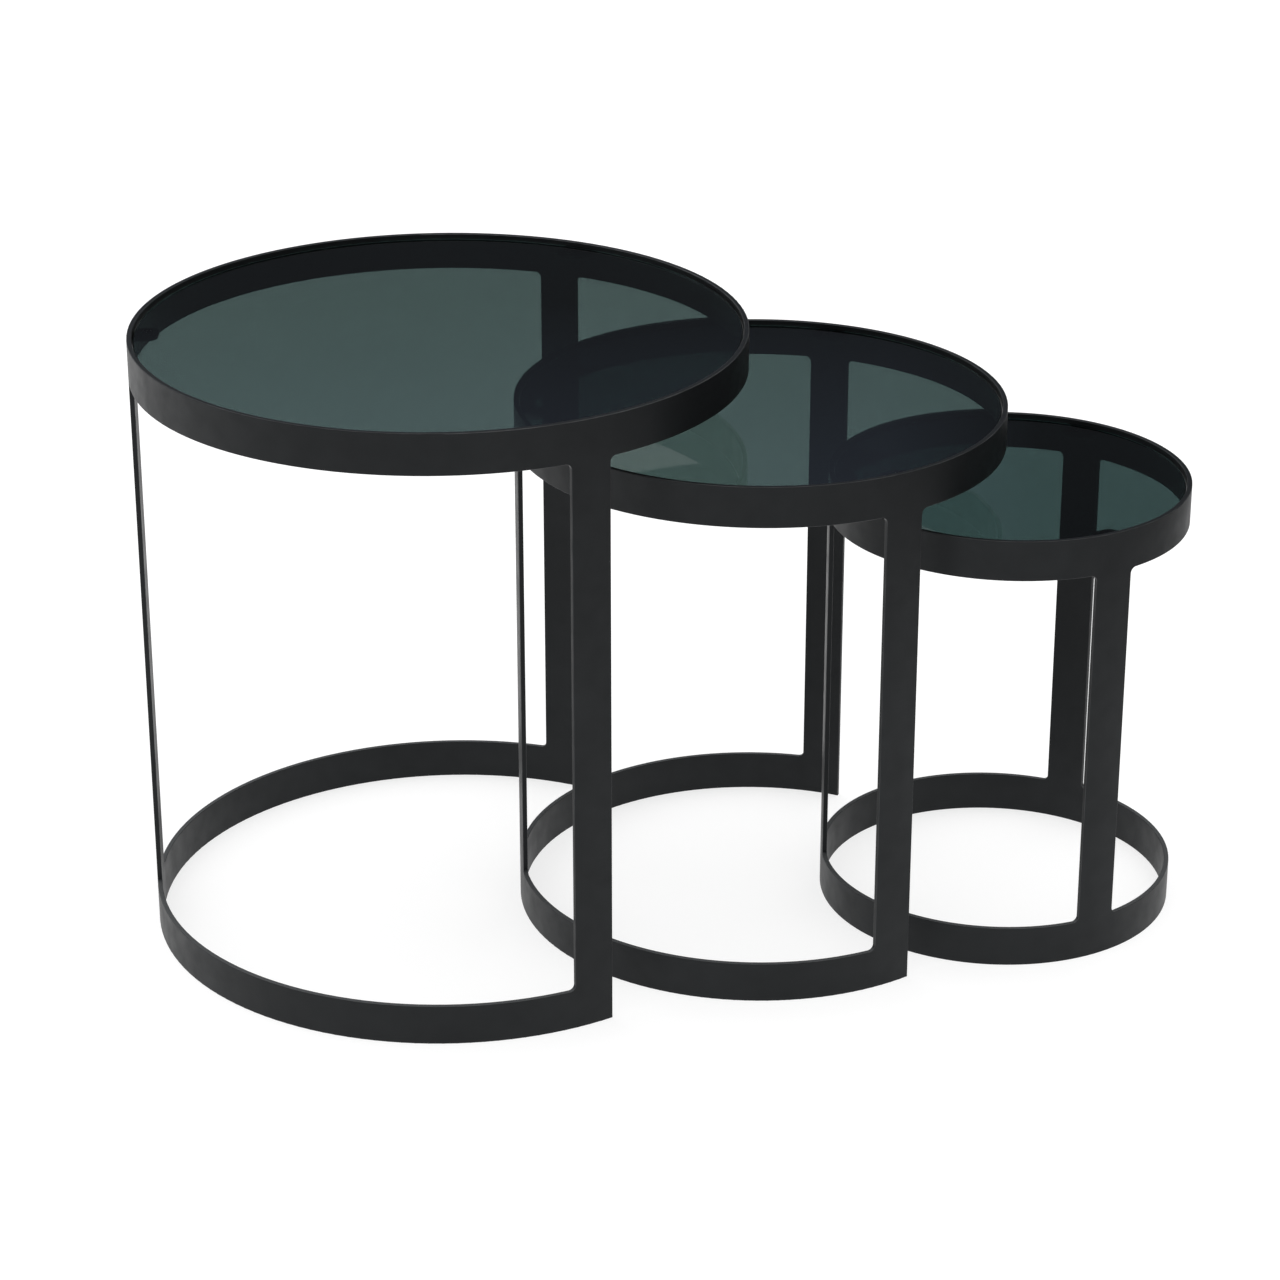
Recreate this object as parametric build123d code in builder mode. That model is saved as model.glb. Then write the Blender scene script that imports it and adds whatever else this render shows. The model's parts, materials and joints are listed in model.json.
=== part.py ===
"""Three round nesting tables: steel bar frames with loose glass tops.

Each frame is one flat bar ring at the top, three flat bar legs that follow the ring's curve, and a bar
at the floor. On the large and medium tables the floor bar is an arc that stops at two of the legs, so
that the next table slides in between them. The small table stands on a whole ring. The welds are ground
flush, so each frame is drawn as one smooth shell and then parted at its weld lines. A glass disc lies in
each top ring on three welded tabs, with a clear bumper on each tab.

The tables stand in a row, pulled part of the way out of each other. +X is the way they pull out, +Z is up,
and the origin is on the floor at the centre of the row's bounding box. Lengths are in millimetres.
"""

from build123d import *
import os
from collections import namedtuple
from math import atan2, cos, degrees, hypot, radians, sin

# Flat steel bar, the same for every ring, arc and leg
BAR_WIDTH = 34.0
BAR_THICKNESS = 4.0
BAR_EDGE_RADIUS = 0.6
WELD_RADIUS = 5.0  # ground inside corner between a leg and a ring

# Glass disc in each top ring
GLASS_THICKNESS = 4.0
GLASS_DROP = 3.5  # from the ring's top edge down to the glass
GLASS_GAP = 1.0  # between the glass and the ring, all round
GLASS_ARRIS = 0.8

# Tabs welded inside the ring, and the bumpers stuck to them
TAB_WIDTH = 26.0
TAB_REACH = 20.0
TAB_THICKNESS = 3.0
TAB_CORNER_RADIUS = 8.0
TAB_EDGE_RADIUS = 0.5
BUMPER_RADIUS = 5.0
BUMPER_HEIGHT = 1.5
BUMPER_DOME = 0.7
BUMPER_INSET = 11.0  # from the ring's inner wall to the bumper's centre

# The row: how far each table stands out of the one before it, and the angle of that step
MEDIUM_PULL = 261.5
SMALL_PULL = 208.0
SMALL_STEP_ANGLE = -2.3

# The leg angle is measured from the table's open side to the front and rear legs. The tab offset turns
# the tabs a little away from the legs, round the ring.
Table = namedtuple("Table", "name radius height x y turn leg_angle tab_offset closed_base")
LARGE_RADIUS = 250.0
SMALL_RADIUS = 150.0
small_x = MEDIUM_PULL + SMALL_PULL * cos(radians(SMALL_STEP_ANGLE))
small_y = SMALL_PULL * sin(radians(SMALL_STEP_ANGLE))
row_middle = (small_x + SMALL_RADIUS - LARGE_RADIUS) / 2
TABLES = [
    Table("large", LARGE_RADIUS, 520.0, -row_middle, 0.0, -0.7, 64.0, -4.0, False),
    Table("medium", 202.0, 450.0, MEDIUM_PULL - row_middle, 0.0, 1.7, 64.0, 0.0, False),
    Table("small", SMALL_RADIUS, 380.0, small_x - row_middle, small_y, -5.5, 60.0, 0.0, True),
]
LEG_SIDES = ("left", "front", "rear")
TINY = 0.01


def floor_plane(table, turn=0.0):
    """The floor at the table's centre, with its X axis turned from the table's open side."""
    angle = radians(table.turn + turn)
    return Plane(origin=(table.x, table.y, 0), x_dir=(cos(angle), sin(angle), 0), z_dir=(0, 0, 1))


def leg_angles(table):
    """The angle of each leg's middle from the table's open side, in the order of LEG_SIDES."""
    return (180.0, -table.leg_angle, table.leg_angle)


def windows(table):
    """Each opening in the shell as (first angle, last angle, lowest z, highest z)."""
    half_leg = degrees(BAR_WIDTH / 2 / table.radius)
    left, front, rear = leg_angles(table)
    bottom = BAR_WIDTH
    top = table.height - BAR_WIDTH
    mouth_bottom = BAR_WIDTH if table.closed_base else 0.0
    return [
        (front + half_leg, rear - half_leg, mouth_bottom, top),
        (rear + half_leg, left - half_leg, bottom, top),
        (left + half_leg, front + 360 - half_leg, bottom, top),
    ]


def wedge_points(first, last, reach):
    """The corners of a wedge from the centre out past the shell, between two angles."""
    middle = (first + last) / 2
    rim = [(reach * cos(radians(a)), reach * sin(radians(a))) for a in (first, middle, last)]
    return [(0, 0), *rim, (0, 0)]


def follows_wall(edge, table):
    """True for an edge that runs along the shell's inner or outer face and isn't the face's seam."""
    ends = [floor_plane(table).to_local_coords(edge @ share) for share in (0, 0.5, 1)]
    radii = [hypot(point.X, point.Y) for point in ends]
    turned = [degrees(atan2(point.Y, point.X)) for point in ends]
    is_seam = edge.geom_type == GeomType.LINE and max(abs(a) for a in turned) < TINY
    return max(radii) - min(radii) < TINY and not is_seam


def build_frame(table):
    """The whole frame as one shell, with its inside corners blended and its edges rounded."""
    floor = floor_plane(table)
    with BuildPart() as frame:
        with BuildSketch(floor):
            Circle(table.radius)
            Circle(table.radius - BAR_THICKNESS, mode=Mode.SUBTRACT)
        extrude(amount=table.height)
        for first, last, low, high in windows(table):
            with BuildSketch(floor.offset(low)):
                with BuildLine():
                    Polyline(*wedge_points(first, last, 3 * table.radius))
                make_face()
            extrude(amount=high - low, mode=Mode.SUBTRACT)
        across_bar = frame.edges().filter_by(GeomType.LINE)
        across_bar = across_bar.filter_by(lambda edge: abs(edge.length - BAR_THICKNESS) < TINY)
        inside_corners = across_bar.filter_by_position(
            Axis.Z, BAR_WIDTH - TINY, table.height - BAR_WIDTH + TINY
        )
        fillet(inside_corners, WELD_RADIUS)
        bar_edges = frame.edges().filter_by(lambda edge: follows_wall(edge, table))
        fillet(bar_edges, BAR_EDGE_RADIUS)
    return frame.part


def part_frame(frame, table):
    """Parts a frame at its weld lines into its top ring, its floor bar and its three legs."""
    floor = floor_plane(table)
    ring_line = floor.offset(table.height - BAR_WIDTH)
    base_line = floor.offset(BAR_WIDTH)
    with BuildPart() as top_ring:
        add(frame)
        split(bisect_by=ring_line, keep=Keep.TOP)
    with BuildPart() as base:
        add(frame)
        split(bisect_by=base_line, keep=Keep.BOTTOM)
    with BuildPart() as legs:
        add(frame)
        split(bisect_by=ring_line, keep=Keep.BOTTOM)
        split(bisect_by=base_line, keep=Keep.TOP)
    pieces = {
        f"{table.name}_top_ring": top_ring.part,
        f"{table.name}_base_{'ring' if table.closed_base else 'arc'}": base.part,
    }
    for side, angle in zip(LEG_SIDES, leg_angles(table)):
        foot = floor_plane(table, angle).from_local_coords(Vector(table.radius, 0, 0))
        with BuildPart() as leg:
            add(legs.solids().sort_by_distance(foot + Vector(0, 0, table.height / 2))[0])
        pieces[f"{table.name}_leg_{side}"] = leg.part
    return pieces


def build_glass(table):
    """The loose glass disc, with its edges dulled."""
    glass_bottom = table.height - GLASS_DROP - GLASS_THICKNESS
    with BuildPart() as glass:
        with BuildSketch(floor_plane(table).offset(glass_bottom)):
            Circle(table.radius - BAR_THICKNESS - GLASS_GAP)
        extrude(amount=GLASS_THICKNESS)
        chamfer(glass.edges().filter_by(GeomType.CIRCLE), GLASS_ARRIS)
    return glass.part


def tab_top(table):
    return table.height - GLASS_DROP - GLASS_THICKNESS - BUMPER_HEIGHT


def build_tab(table, angle):
    """A flat tab that fits the ring's inner wall, with its free corners rounded."""
    wall = table.radius - BAR_THICKNESS
    with BuildPart() as tab:
        with BuildSketch(floor_plane(table, angle).offset(tab_top(table) - TAB_THICKNESS)) as outline:
            with Locations((wall, 0)):
                Rectangle(2 * TAB_REACH, TAB_WIDTH)
            Circle(wall, mode=Mode.INTERSECT)
            fillet(outline.vertices().group_by(Axis.X)[0], TAB_CORNER_RADIUS)
        extrude(amount=TAB_THICKNESS)
        free_edges = tab.faces().sort_by(Axis.Z)[-1].edges().filter_by(GeomType.LINE)
        free_edges += tab.faces().sort_by(Axis.Z)[0].edges().filter_by(GeomType.LINE)
        chamfer(free_edges, TAB_EDGE_RADIUS)
    return tab.part


def build_bumper(table, angle):
    """A clear bumper with a domed edge, stuck to the middle of a tab."""
    with BuildPart() as bumper:
        with BuildSketch(floor_plane(table, angle).offset(tab_top(table))):
            with Locations((table.radius - BAR_THICKNESS - BUMPER_INSET, 0)):
                Circle(BUMPER_RADIUS)
        extrude(amount=BUMPER_HEIGHT)
        fillet(bumper.edges().sort_by(Axis.Z)[-1], BUMPER_DOME)
    return bumper.part


def build_table(table):
    """Every piece of one table, by name."""
    pieces = part_frame(build_frame(table), table)
    pieces[f"{table.name}_glass"] = build_glass(table)
    for side, leg_angle in zip(LEG_SIDES, leg_angles(table)):
        angle = leg_angle + table.tab_offset
        pieces[f"{table.name}_glass_tab_{side}"] = build_tab(table, angle)
        pieces[f"{table.name}_bumper_{side}"] = build_bumper(table, angle)
    return pieces


os.makedirs("parts", exist_ok=True)
for table in TABLES:
    for name, piece in build_table(table).items():
        piece.label = name
        export_step(piece, f"parts/{name}.step")
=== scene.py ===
"""The looks of three round nesting tables: black powder-coated bar frames with smoked glass tops.

The CAD nodes keep their own shapes and get procedural materials here. Weld beads are added under the glass
tabs. The camera, the floor and the studio light are made here too. All lengths are in metres, in the row's
own frame: +X is the way the tables pull out, and +Z is up.
"""

import json
import math

import bmesh
import bpy
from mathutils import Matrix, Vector


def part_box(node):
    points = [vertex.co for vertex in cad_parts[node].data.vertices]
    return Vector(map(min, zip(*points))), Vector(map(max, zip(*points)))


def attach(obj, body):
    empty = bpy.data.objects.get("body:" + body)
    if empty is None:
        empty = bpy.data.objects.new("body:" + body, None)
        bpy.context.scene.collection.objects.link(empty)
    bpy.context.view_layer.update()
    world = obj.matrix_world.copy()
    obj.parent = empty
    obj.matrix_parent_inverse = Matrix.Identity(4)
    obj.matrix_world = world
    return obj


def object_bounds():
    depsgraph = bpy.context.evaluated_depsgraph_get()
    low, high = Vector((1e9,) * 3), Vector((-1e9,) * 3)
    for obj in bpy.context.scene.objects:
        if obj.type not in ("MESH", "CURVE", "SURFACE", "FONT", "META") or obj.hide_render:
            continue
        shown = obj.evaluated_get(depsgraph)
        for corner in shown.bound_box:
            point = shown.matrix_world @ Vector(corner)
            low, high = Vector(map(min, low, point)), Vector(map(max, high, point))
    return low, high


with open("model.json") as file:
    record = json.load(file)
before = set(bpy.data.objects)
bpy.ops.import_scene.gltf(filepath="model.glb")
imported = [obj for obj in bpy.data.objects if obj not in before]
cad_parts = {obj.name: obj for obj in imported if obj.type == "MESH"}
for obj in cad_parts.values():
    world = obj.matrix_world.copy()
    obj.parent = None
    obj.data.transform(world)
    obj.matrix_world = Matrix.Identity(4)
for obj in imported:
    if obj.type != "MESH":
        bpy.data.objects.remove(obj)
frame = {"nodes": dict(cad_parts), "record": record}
CAD_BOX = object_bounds()

SIZES = ("large", "medium", "small")
PLACES = ("left", "front", "rear")

# Camera: its direction from the box's centre, how far off it is, how far it sees, and how far beside that
# centre it aims
CAMERA_AZIMUTH = math.radians(-4.85)
CAMERA_ELEVATION = math.radians(23.6)
CAMERA_DISTANCE = 3.097
CAMERA_LENS_MM = 104.0
CAMERA_REACH = 100.0
AIM_RIGHT = -0.022
AIM_UP = -0.0214

# Floor: it stops on the right, so that the bars' right-hand sides mirror the dim room. Its glow keeps the
# shadows on it faint.
FLOOR_LOW = (-4.0, -4.0)
FLOOR_HIGH = (1.2, 4.0)
FLOOR_COLOUR = (0.31, 0.31, 0.31, 1)
FLOOR_MOTTLE_COLOUR = (0.30535, 0.30535, 0.30535, 1)
FLOOR_MOTTLE_SCALE = 0.7
FLOOR_ROUGHNESS = 0.9
FLOOR_SPECULAR = 0.1
FLOOR_GLOW = 0.74

# Soft lights: place, the point it faces, width, height and watts
SOFT_LIGHTS = {
    "overhead": ((0, 0.3, 3.2), (0, 0, 0), 4.0, 3.0, 40),
    "left": ((-3.4, -0.6, 1.4), (0, 0, 0.3), 2.4, 2.0, 8.5),
    "rear_left": ((-2.4, 2.6, 2.6), (0, 0, 0.4), 3.2, 2.4, 22),
}
WHITE = (1, 1, 1, 1)
WORLD_LIGHT = 1.1
STRAIGHT_UP = (0.0, 0.0, 1.0)
LEVEL = (1.0, 1.0, 0.0)

# The dim room that metal and glass mirror: its walls, and a lighter ceiling. A direction's Z tells how far
# the wall has turned into ceiling, and its X where the ceiling ends on the right.
ROOM_WALL = (0.04, 0.044, 0.05, 1)
ROOM_CEILING = (0.125, 0.148, 0.2, 1)
CEILING_RISE = (0.315, 0.385)
CEILING_END = (0.145, 0.185)

# Noise mostly stays near 0.5. These are the stretches of it that ramps spread out to their whole range.
SOFT_SPREAD = (0.3, 0.7)
FIRM_SPREAD = (0.35, 0.65)
SPECK_SPREAD = (0.45, 0.75)
CLOUD_SPREAD = (0.35, 0.7)

# Powder coat: colours, noise scales (features per metre), bump heights and strengths, where edge wear with
# its painted edge highlight lies, and where the painted highlight on up-facing faces lies
COAT_COLOUR = (0.0026, 0.003, 0.0034, 1)
COAT_LIGHT_COLOUR = (0.0048, 0.0054, 0.006, 1)
# Edge colour: partly wear, partly a painted highlight where light catches the rounded edges
COAT_WORN_AND_HIGHLIGHT_COLOUR = (0.075, 0.077, 0.079, 1)
# Painted highlight colour: up-facing faces are lighter, as if lit from above
COAT_TOP_HIGHLIGHT_COLOUR = (0.09, 0.092, 0.093, 1)
COAT_SHEEN_TINT = (0.93, 0.97, 1.0, 1)
COAT_SPECULAR = 0.28
COAT_ROUGHNESS = (0.42, 0.52)
COAT_SHEEN_SCALE = 60.0
COAT_MOTTLE_SCALE = 9.0
COAT_SPECK_SCALE = 1500.0
COAT_SPECK_MOST = 0.35
COAT_PEBBLE_SCALE = 1100.0
COAT_PEBBLE_DEPTH = 0.00006
COAT_PEBBLE_STRENGTH = 0.5
COAT_WAVE_SCALE = 120.0
COAT_WAVE_DEPTH = 0.00008
COAT_WAVE_STRENGTH = 0.4
# Edge wear with its painted highlight: where an edge starts and ends, its patch scale, and how patchy it is
WEAR_AND_HIGHLIGHT_FACING = (0.80, 0.97)
WEAR_AND_HIGHLIGHT_PATCH_SCALE = 45.0
WEAR_AND_HIGHLIGHT_PATCHES = (0.3, 0.7)
# Painted highlight on up-facing faces: how squarely up a face must look, the heights it fades over, and its
# strength low and high
TOP_HIGHLIGHT_FACING = (0.6, 0.95)
TOP_HIGHLIGHT_HEIGHTS = (0.06, 0.3)
TOP_HIGHLIGHT_AMOUNTS = (0.7, 0.05)

# Smoked glass: the tints that each sheet drifts between, its ground edge, and its faint waves. The small
# sheet's darker tints are painted shade.
GLASS_TINTS_AND_SHADE = {
    "large": ((0.062, 0.098, 0.0925, 1), (0.0575, 0.092, 0.087, 1)),
    "medium": ((0.0535, 0.0885, 0.082, 1), (0.0495, 0.0825, 0.0775, 1)),
    # Painted shade: the small sheet's tints are darker, standing in for light that falls off to the right
    "small": ((0.037, 0.069, 0.066, 1), (0.032, 0.063, 0.061, 1)),
}
GLASS_TINT_SCALE = 3.0
GLASS_IOR = 1.52
GLASS_WAVE_SCALE = 14.0
GLASS_WAVE_DEPTH = 0.00002
GLASS_WAVE_STRENGTH = 0.3
GLASS_EDGE_TINT = (0.05, 0.09, 0.085, 1)
GLASS_EDGE_FACING = (0.9, 0.98)
GLASS_EDGE_ROUGHNESS = 0.35

# Bumpers: clear plastic with cloudy specks
BUMPER_CLEAR = (0.86, 0.88, 0.87, 1)
BUMPER_CLOUDY = (0.7, 0.73, 0.72, 1)
BUMPER_CLOUD_SCALE = 900.0
BUMPER_ROUGHNESS = (0.18, 0.3)
BUMPER_CLARITY = 0.75
BUMPER_IOR = 1.45

# Weld beads: leg length, how far they sink into the steel, their ripples, how steeply they round off at
# their ends and the share of their section left at the very end, and their mesh steps
BEAD_LEG = 0.0026
BEAD_SINK = 0.0003
BEAD_RIPPLES = 9
BEAD_RIPPLE_DEPTH = 0.09
BEAD_END_SLOPE = 5.0
BEAD_END_SHARE = 0.15
BEAD_STEPS = 108
BEAD_SIDES = 10


def make_camera():
    level = math.cos(CAMERA_ELEVATION)
    right = Vector((math.cos(CAMERA_AZIMUTH), math.sin(CAMERA_AZIMUTH), 0))
    back = Vector((right.y * level, -right.x * level, math.sin(CAMERA_ELEVATION)))
    up = back.cross(right)
    data = bpy.data.cameras.new("camera")
    data.lens = CAMERA_LENS_MM
    data.clip_end = CAMERA_REACH
    camera = bpy.data.objects.new("camera", data)
    aim = (CAD_BOX[0] + CAD_BOX[1]) / 2 + right * AIM_RIGHT + up * AIM_UP
    camera.location = aim + back * CAMERA_DISTANCE
    camera.rotation_mode = "QUATERNION"
    camera.rotation_quaternion = (-back).to_track_quat("-Z", "Y")
    bpy.context.scene.collection.objects.link(camera)
    bpy.context.scene.camera = camera


class Tree:
    """A node tree, with short calls to add and join nodes. A term is a socket or a plain value."""

    def __init__(self, tree):
        self.tree = tree

    def add(self, kind, **settings):
        node = self.tree.nodes.new(kind)
        for key, value in settings.items():
            setattr(node, key, value)
        return node

    def join(self, source, target):
        self.tree.links.new(source, target)

    def fill(self, socket, term):
        if isinstance(term, bpy.types.NodeSocket):
            self.join(term, socket)
        else:
            socket.default_value = term

    def ramp(self, source, low, high, out_low, out_high):
        """source between low and high, stretched to between out_low and out_high."""
        node = self.add("ShaderNodeMapRange")
        self.join(source, node.inputs["Value"])
        for key, value in zip(("From Min", "From Max", "To Min", "To Max"), (low, high, out_low, out_high)):
            node.inputs[key].default_value = value
        return node.outputs["Result"]

    def blend(self, factor, first, second):
        """Mixes two colours."""
        node = self.add("ShaderNodeMix", data_type="RGBA")
        self.join(factor, node.inputs["Factor"])
        colours = [socket for socket in node.inputs if socket.type == "RGBA"]
        for socket, term in zip(colours, (first, second)):
            self.fill(socket, term)
        return next(socket for socket in node.outputs if socket.type == "RGBA")

    def vector(self, operation, *terms):
        """A vector sum. It gives a number for a dot product, and otherwise a vector."""
        node = self.add("ShaderNodeVectorMath", operation=operation)
        for socket, term in zip(node.inputs, terms):
            self.fill(socket, term)
        return node.outputs["Value" if operation == "DOT_PRODUCT" else "Vector"]

    def number(self, operation, *terms):
        """A sum of numbers."""
        node = self.add("ShaderNodeMath", operation=operation)
        for socket, term in zip(node.inputs, terms):
            self.fill(socket, term)
        return node.outputs["Value"]

    def parts(self, vector):
        """A vector's X, Y and Z sockets."""
        node = self.add("ShaderNodeSeparateXYZ")
        self.join(vector, node.inputs["Vector"])
        return node.outputs


class Finish(Tree):
    """A material and its node tree, with calls for what finishes are made of."""

    def __init__(self, name):
        self.material = bpy.data.materials.new(name)
        self.material.use_nodes = True
        super().__init__(self.material.node_tree)
        self.shader = self.tree.nodes["Principled BSDF"]
        coordinates = self.add("ShaderNodeTexCoord")
        self.place = coordinates.outputs["Object"]
        self.normal = coordinates.outputs["Normal"]

    def set(self, **terms):
        """Sets the shader's own sockets, with spaces in their names written as _."""
        for key, term in terms.items():
            self.fill(self.shader.inputs[key.replace("_", " ")], term)

    def noise(self, scale, detail=2.0):
        node = self.add("ShaderNodeTexNoise")
        self.join(self.place, node.inputs["Vector"])
        node.inputs["Scale"].default_value = scale
        node.inputs["Detail"].default_value = detail
        return node.outputs["Fac"]

    def bump(self, height, depth, strength, below=None):
        """Bump from a height between 0 and 1 that stands depth metres high, on top of the bump below."""
        node = self.add("ShaderNodeBump")
        self.join(height, node.inputs["Height"])
        node.inputs["Distance"].default_value = depth
        node.inputs["Strength"].default_value = strength
        if below:
            self.join(below, node.inputs["Normal"])
        return node.outputs["Normal"]

    def facing(self, way):
        """How squarely the surface faces this way, from -1 to 1."""
        return self.vector("DOT_PRODUCT", self.normal, way)

    def bar_edges(self, centre, low, high):
        """1 on the rounded edges of a bar bent round an upright axis through centre, 0 on the rest of it.

        The rest faces squarely up or down, out from the axis or in, or round it. An edge faces between them.
        """
        spoke = self.vector("MULTIPLY", self.vector("SUBTRACT", self.place, tuple(centre)), LEVEL)
        up = self.facing(STRAIGHT_UP)
        out = self.facing(self.vector("NORMALIZE", spoke))
        squares = self.number("ADD", self.number("MULTIPLY", up, up), self.number("MULTIPLY", out, out))
        round_axis = self.number("SQRT", self.number("MAXIMUM", self.number("SUBTRACT", 1.0, squares), 0.0))
        square_on = self.number("MAXIMUM", self.number("ABSOLUTE", up), self.number("ABSOLUTE", out))
        return self.ramp(self.number("MAXIMUM", square_on, round_axis), low, high, 1.0, 0.0)


def powder_coat(name, centre):
    """Matt black powder coat: a pebbled skin, soft mottling, edge wear with a painted edge highlight, and a
    painted highlight on up-facing faces, strongest near the floor.
    """
    coat = Finish(name)
    mottle = coat.ramp(coat.noise(COAT_MOTTLE_SCALE, detail=3.0), *FIRM_SPREAD, 0.0, 1.0)
    specks = coat.ramp(coat.noise(COAT_SPECK_SCALE, detail=1.0), *SPECK_SPREAD, 0.0, COAT_SPECK_MOST)
    base = coat.blend(mottle, COAT_COLOUR, COAT_LIGHT_COLOUR)
    flecked = coat.blend(specks, base, COAT_LIGHT_COLOUR)
    # Painted highlight: faces that look up are lighter, as if lit from above, most of all near the floor
    highlight_by_height = coat.ramp(coat.parts(coat.place)["Z"], *TOP_HIGHLIGHT_HEIGHTS, *TOP_HIGHLIGHT_AMOUNTS)
    top_highlight = coat.number("MULTIPLY", coat.ramp(coat.facing(STRAIGHT_UP), *TOP_HIGHLIGHT_FACING, 0.0, 1.0), highlight_by_height)
    with_top_highlight = coat.blend(top_highlight, flecked, COAT_TOP_HIGHLIGHT_COLOUR)
    # Edge wear with a painted edge highlight, patchy along the edges
    wear_and_highlight_patches = coat.ramp(coat.noise(WEAR_AND_HIGHLIGHT_PATCH_SCALE, detail=3.0), *FIRM_SPREAD, *WEAR_AND_HIGHLIGHT_PATCHES)
    edge_wear_and_highlight = coat.number("MULTIPLY", coat.bar_edges(centre, *WEAR_AND_HIGHLIGHT_FACING), wear_and_highlight_patches)
    pebbles = coat.bump(coat.noise(COAT_PEBBLE_SCALE), COAT_PEBBLE_DEPTH, COAT_PEBBLE_STRENGTH)
    waves = coat.noise(COAT_WAVE_SCALE)
    coat.set(
        Base_Color=coat.blend(edge_wear_and_highlight, with_top_highlight, COAT_WORN_AND_HIGHLIGHT_COLOUR),
        Roughness=coat.ramp(coat.noise(COAT_SHEEN_SCALE, detail=4.0), *SOFT_SPREAD, *COAT_ROUGHNESS),
        Normal=coat.bump(waves, COAT_WAVE_DEPTH, COAT_WAVE_STRENGTH, below=pebbles),
        Specular_IOR_Level=COAT_SPECULAR,
        Specular_Tint=COAT_SHEEN_TINT,
    )
    return coat.material


def smoked_glass(name, tint, deep_tint):
    """Smoked grey-green glass with a ground edge and the faint unevenness of a rolled sheet."""
    glass = Finish(name)
    drift = glass.ramp(glass.noise(GLASS_TINT_SCALE), *SOFT_SPREAD, 0.0, 1.0)
    edge = glass.ramp(glass.number("ABSOLUTE", glass.facing(STRAIGHT_UP)), *GLASS_EDGE_FACING, 1.0, 0.0)
    waves = glass.noise(GLASS_WAVE_SCALE, detail=1.0)
    glass.set(
        Base_Color=glass.blend(edge, glass.blend(drift, tint, deep_tint), GLASS_EDGE_TINT),
        Roughness=glass.number("MULTIPLY", edge, GLASS_EDGE_ROUGHNESS),
        Normal=glass.bump(waves, GLASS_WAVE_DEPTH, GLASS_WAVE_STRENGTH),
        Transmission_Weight=1.0,
        IOR=GLASS_IOR,
    )
    return glass.material


def clear_bumper():
    """Clear soft plastic, a little cloudy."""
    bumper = Finish("clear_bumper")
    cloud = bumper.ramp(bumper.noise(BUMPER_CLOUD_SCALE, detail=3.0), *CLOUD_SPREAD, 0.0, 1.0)
    bumper.set(
        Base_Color=bumper.blend(cloud, BUMPER_CLEAR, BUMPER_CLOUDY),
        Roughness=bumper.ramp(cloud, 0.0, 1.0, *BUMPER_ROUGHNESS),
        Transmission_Weight=BUMPER_CLARITY,
        IOR=BUMPER_IOR,
    )
    return bumper.material


def make_floor():
    finish = Finish("floor")
    mottle = finish.ramp(finish.noise(FLOOR_MOTTLE_SCALE), *SOFT_SPREAD, 0.0, 1.0)
    finish.set(
        Base_Color=finish.blend(mottle, FLOOR_COLOUR, FLOOR_MOTTLE_COLOUR),
        Roughness=FLOOR_ROUGHNESS,
        Specular_IOR_Level=FLOOR_SPECULAR,
        Emission_Color=WHITE,
        Emission_Strength=FLOOR_GLOW,
    )
    (left, front), (right, rear) = FLOOR_LOW, FLOOR_HIGH
    mesh = bpy.data.meshes.new("floor")
    corners = [(left, front, 0), (right, front, 0), (right, rear, 0), (left, rear, 0)]
    mesh.from_pydata(corners, [], [(0, 1, 2, 3)])
    mesh.materials.append(finish.material)
    floor = bpy.data.objects.new("floor", mesh)
    bpy.context.scene.collection.objects.link(floor)


def make_world():
    """White all round to the eye and as light, but metal and glass mirror a dim room.

    A glossy ray sees the room if it was mirrored or goes up. A ray that passes down through glass is glossy
    too, and it sees white, so what shows through the glass stays white.
    """
    world = bpy.data.worlds.new("studio")
    world.use_nodes = True
    sky = Tree(world.node_tree)
    white = sky.tree.nodes["Background"]
    white.inputs["Color"].default_value = WHITE
    white.inputs["Strength"].default_value = WORLD_LIGHT
    direction = sky.parts(sky.add("ShaderNodeTexCoord").outputs["Generated"])
    rise = sky.ramp(direction["Z"], *CEILING_RISE, 0.0, 1.0)
    end = sky.ramp(direction["X"], *CEILING_END, 1.0, 0.0)
    room = sky.add("ShaderNodeBackground")
    sky.join(sky.blend(sky.number("MULTIPLY", rise, end), ROOM_WALL, ROOM_CEILING), room.inputs["Color"])
    ray = sky.add("ShaderNodeLightPath").outputs
    upward = sky.number("GREATER_THAN", direction["Z"], 0.0)
    up_or_mirrored = sky.number("MAXIMUM", upward, ray["Is Reflection Ray"])
    sees_room = sky.number("MULTIPLY", ray["Is Glossy Ray"], up_or_mirrored)
    mix = sky.add("ShaderNodeMixShader")
    for source, socket in zip((sees_room, white.outputs[0], room.outputs[0]), mix.inputs):
        sky.join(source, socket)
    sky.join(mix.outputs[0], sky.tree.nodes["World Output"].inputs["Surface"])
    bpy.context.scene.world = world


def soft_light(name, place, aim, width, height, power):
    data = bpy.data.lights.new(name, "AREA")
    data.shape = "RECTANGLE"
    data.size = width
    data.size_y = height
    data.energy = power
    light = bpy.data.objects.new(name, data)
    light.location = place
    light.rotation_mode = "QUATERNION"
    light.rotation_quaternion = (Vector(aim) - Vector(place)).to_track_quat("-Z", "Y")
    bpy.context.scene.collection.objects.link(light)


def dress(node, material):
    node.data.materials.clear()
    node.data.materials.append(material)


def middle(name):
    """The middle of a CAD node's box, by the node's name."""
    low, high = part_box(name)
    return (Vector(low) + Vector(high)) / 2


def bead_leg(along):
    """A bead's leg length at a place from 0 to 1 along it: rippled, and rounded off at both ends."""
    taper = min(1.0, BEAD_END_SLOPE * math.sin(math.pi * along) + BEAD_END_SHARE) ** 0.5
    ripple = 1 - BEAD_RIPPLE_DEPTH * abs(math.sin(math.pi * BEAD_RIPPLES * along))
    return BEAD_LEG * taper * ripple + BEAD_SINK


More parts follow.
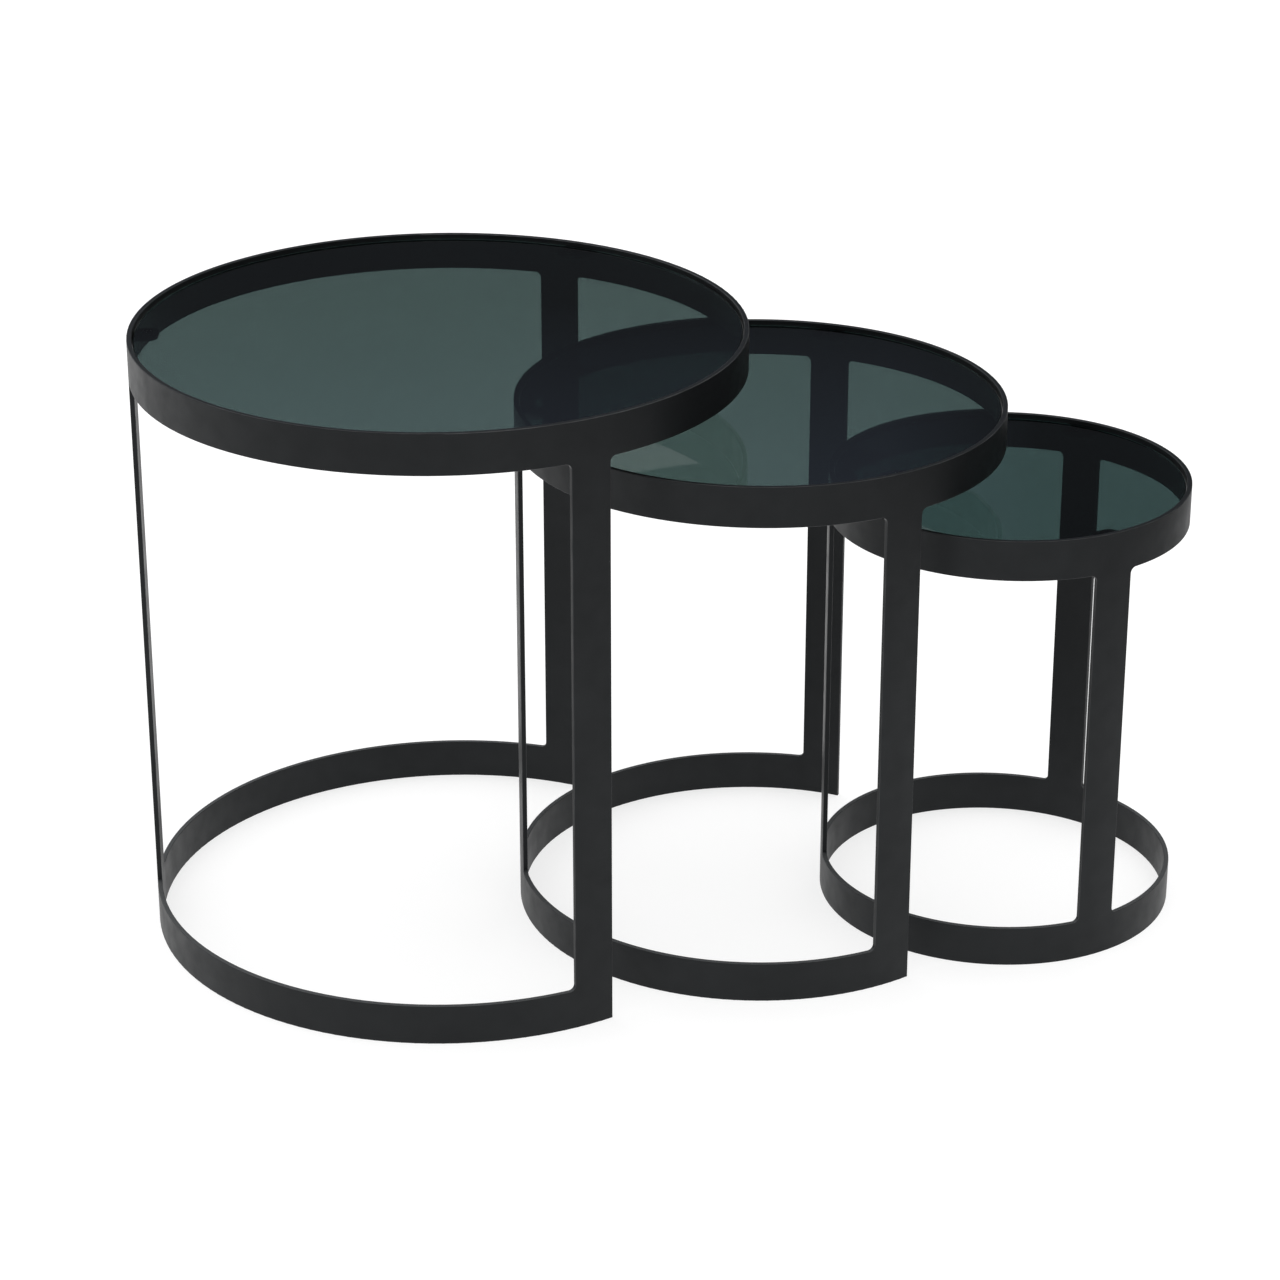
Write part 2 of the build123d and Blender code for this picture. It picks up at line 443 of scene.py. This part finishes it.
def bead_section(corner, outward, leg):
    """A bead's section: its sunk corner, and a quarter circle round it, from straight down to inwards."""
    section = [corner]
    for side in range(BEAD_SIDES + 1):
        angle = math.pi / 2 * side / BEAD_SIDES
        section.append(corner - outward * leg * math.sin(angle) - Vector((0, 0, leg * math.cos(angle))))
    return section


def loft(name, sections):
    """A closed mesh through sections of equally many points: smooth sides, and a flat face at each end."""
    count = len(sections[0])
    last = (len(sections) - 1) * count
    faces = [tuple(range(count)), tuple(reversed(range(last, last + count)))]
    for start in range(0, last, count):
        for side in range(count):
            here, there = start + side, start + (side + 1) % count
            faces.append((here, here + count, there + count, there))
    mesh = bpy.data.meshes.new(name)
    mesh.from_pydata([tuple(point) for section in sections for point in section], [], faces)
    mesh.polygons.foreach_set("use_smooth", [len(face) == 4 for face in faces])
    shape = bmesh.new()
    shape.from_mesh(mesh)
    bmesh.ops.recalc_face_normals(shape, faces=shape.faces)
    shape.to_mesh(mesh)
    shape.free()
    return mesh


def weld_bead(name, tab, centre, body, material):
    """A rippled fillet weld in the corner between a tab's underside and the ring's inner wall."""
    spots = [vertex.co - centre for vertex in tab.data.vertices]
    underside = min(spot.z for spot in spots) + centre.z
    heart = sum(spots, Vector()) / len(spots)
    spoke = Vector((heart.x, heart.y, 0)).normalized()
    across = Vector((-spoke.y, spoke.x, 0))
    wall = max(spot.xy.length for spot in spots)
    half_turn = math.asin(max(abs(spot.dot(across)) for spot in spots) / wall)
    sections = []
    for step in range(BEAD_STEPS + 1):
        along = step / BEAD_STEPS
        turn = (2 * along - 1) * half_turn
        outward = spoke * math.cos(turn) + across * math.sin(turn)
        corner = centre + outward * (wall + BEAD_SINK)
        corner.z = underside + BEAD_SINK
        sections.append(bead_section(corner, outward, bead_leg(along)))
    mesh = loft(name, sections)
    mesh.materials.append(material)
    bead = bpy.data.objects.new(name, mesh)
    bpy.context.scene.collection.objects.link(bead)
    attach(bead, body)


make_camera()
make_floor()
make_world()
for name, settings in SOFT_LIGHTS.items():
    soft_light(name, *settings)
bpy.context.scene.view_settings.view_transform = "Standard"

slots = {part["node"]: part["material_slot"] for part in frame["record"]["subparts"]}
bumper = clear_bumper()
for size in SIZES:
    centre = middle(f"{size}_glass")
    finishes = {
        "frame_coat": powder_coat(f"{size}_powder_coat", centre),
        "glass_top": smoked_glass(f"{size}_smoked_glass", *GLASS_TINTS_AND_SHADE[size]),
        "bumper": bumper,
    }
    for name, node in frame["nodes"].items():
        if name.startswith(size):
            dress(node, finishes[slots[name]])
    for place in PLACES:
        tab = frame["nodes"][f"{size}_glass_tab_{place}"]
        weld_bead(f"{size}_tab_weld_{place}", tab, centre, f"{size}_table", finishes["frame_coat"])
